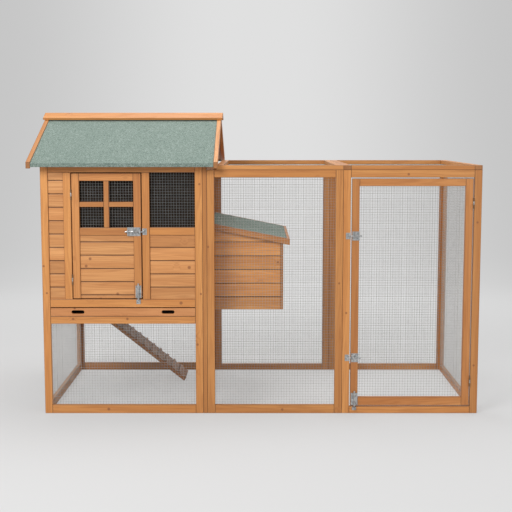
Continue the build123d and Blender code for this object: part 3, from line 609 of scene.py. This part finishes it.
def studioMaterial():
    material, tree, shader = startMaterial("studioPaper")
    place = objectPlace(tree)
    cloud = noiseNode(tree, place, studio["cloudNoise"])
    tint = tuple(value * studio["cloudTint"] for value in studio["floor"][:3]) + (1,)
    tree.links.new(mixColour(tree, cloud, studio["floor"], tint), shader.inputs["Base Color"])
    setSurface(shader, studio["surface"])
    # what the camera sees is half lit paper and half a painted grey glow, and all painted glow far back
    parts = axes(tree, place)
    far = rangeNode(tree, parts[1], *studio["backFade"], 0.0, 1.0)
    aside = rangeNode(tree, mathNode(tree, "ABSOLUTE", parts[0]), *studio["sideFade"], 0.0, 1.0)
    back = rangeNode(tree, aside, 0.0, 1.0, studio["middle"], studio["side"], smooth=False)
    pale = mathNode(tree, "MULTIPLY", far, mathNode(tree, "SUBTRACT", back, studio["near"]))
    pale = mathNode(tree, "ADD", pale, studio["near"])
    glow = addNode(tree, "ShaderNodeEmission", {}, {"Color": greyNode(tree, pale), "Strength": 1.0})
    path = addNode(tree, "ShaderNodeLightPath", {}, {})
    seen = mathNode(tree, "ADD", path.outputs["Is Camera Ray"], path.outputs["Is Glossy Ray"])
    seen = mathNode(tree, "ADD", seen, path.outputs["Is Transmission Ray"], True)
    weight = rangeNode(tree, parts[1], *studio["takeOver"], studio["painted"], 1.0)
    blend = addNode(tree, "ShaderNodeMixShader", {}, {
        0: mathNode(tree, "MULTIPLY", seen, weight), 1: shader.outputs[0], 2: glow.outputs[0]})
    output = [node for node in tree.nodes if node.type == "OUTPUT_MATERIAL"][0]
    tree.links.new(blend.outputs[0], output.inputs[0])
    return material


def addProfilePoint(bm, line, edges, y, z):
    line.append(bm.verts.new((-studio["half"], y, z)))
    if len(line) > 1:
        edges.append(bm.edges.new((line[-2], line[-1])))


bm = bmesh.new()
line = []
edges = []
addProfilePoint(bm, line, edges, studio["front"], studio["sunk"])
addProfilePoint(bm, line, edges, studio["depth"], studio["sunk"])
for k in range(1, studio["steps"] + 1):
    angle = math.radians(90 * k / studio["steps"])
    addProfilePoint(bm, line, edges, studio["depth"] + studio["curve"] * math.sin(angle),
                    studio["curve"] * (1 - math.cos(angle)))
addProfilePoint(bm, line, edges, studio["depth"] + studio["curve"], studio["height"])
made = bmesh.ops.extrude_edge_only(bm, edges=edges)
newVerts = [item for item in made["geom"] if isinstance(item, bmesh.types.BMVert)]
bmesh.ops.translate(bm, verts=newVerts, vec=(2 * studio["half"], 0, 0))
bmesh.ops.recalc_face_normals(bm, faces=bm.faces)
for face in bm.faces:
    face.smooth = True
mesh = bpy.data.meshes.new("studioFloor")
bm.to_mesh(mesh)
bm.free()
floor = bpy.data.objects.new("studioFloor", mesh)
mesh.materials.append(studioMaterial())
bpy.context.scene.collection.objects.link(floor)

# soft lamps: place, what each points at, and size in metres; power in watts
lamps = {
    "keyLamp": {"place": (-2.6, -4.2, 3.6), "target": (0, 0, 0.6), "size": (2.6, 2.2), "power": 185.0},
    "fillLamp": {"place": (3.6, -4.4, 2.0), "target": (0, 0, 0.6), "size": (2.6, 2.6), "power": 52.0},
    "topLamp": {"place": (0.2, 0.6, 4.6), "target": (0, 0.2, 0), "size": (3.6, 2.4), "power": 125.0},
}
for name, values in lamps.items():
    data = bpy.data.lights.new(name, "AREA")
    data.shape = "RECTANGLE"
    data.size, data.size_y = values["size"]
    data.energy = values["power"]
    lamp = bpy.data.objects.new(name, data)
    lamp.location = values["place"]
    aim = (Vector(values["target"]) - Vector(values["place"])).to_track_quat("-Z", "Y")
    lamp.rotation_euler = aim.to_euler()
    bpy.context.scene.collection.objects.link(lamp)

world = bpy.data.worlds.new("studioWorld")
world.use_nodes = True
background = world.node_tree.nodes["Background"]
background.inputs[0].default_value = (1, 1, 1, 1)
background.inputs[1].default_value = studio["world"]
bpy.context.scene.world = world

# the photograph's camera: millimetres for the lens, metres for the place, radians down
photoCamera = {"sensor": 36, "lens": 73.61, "shiftX": -0.0025, "clip": 100,
               "place": (0.01306, -5.30326, 1.31378), "down": 0.1164}
cameraData = bpy.data.cameras.new("photoCamera")
cameraData.sensor_width = photoCamera["sensor"]
cameraData.lens = photoCamera["lens"]
cameraData.shift_x = photoCamera["shiftX"]
cameraData.clip_end = photoCamera["clip"]
camera = bpy.data.objects.new("photoCamera", cameraData)
camera.location = photoCamera["place"]
camera.rotation_euler = (math.radians(90) - photoCamera["down"], 0, 0)
bpy.context.scene.collection.objects.link(camera)
bpy.context.scene.camera = camera
bpy.context.scene.view_settings.view_transform = "Standard"
print("studio ready")
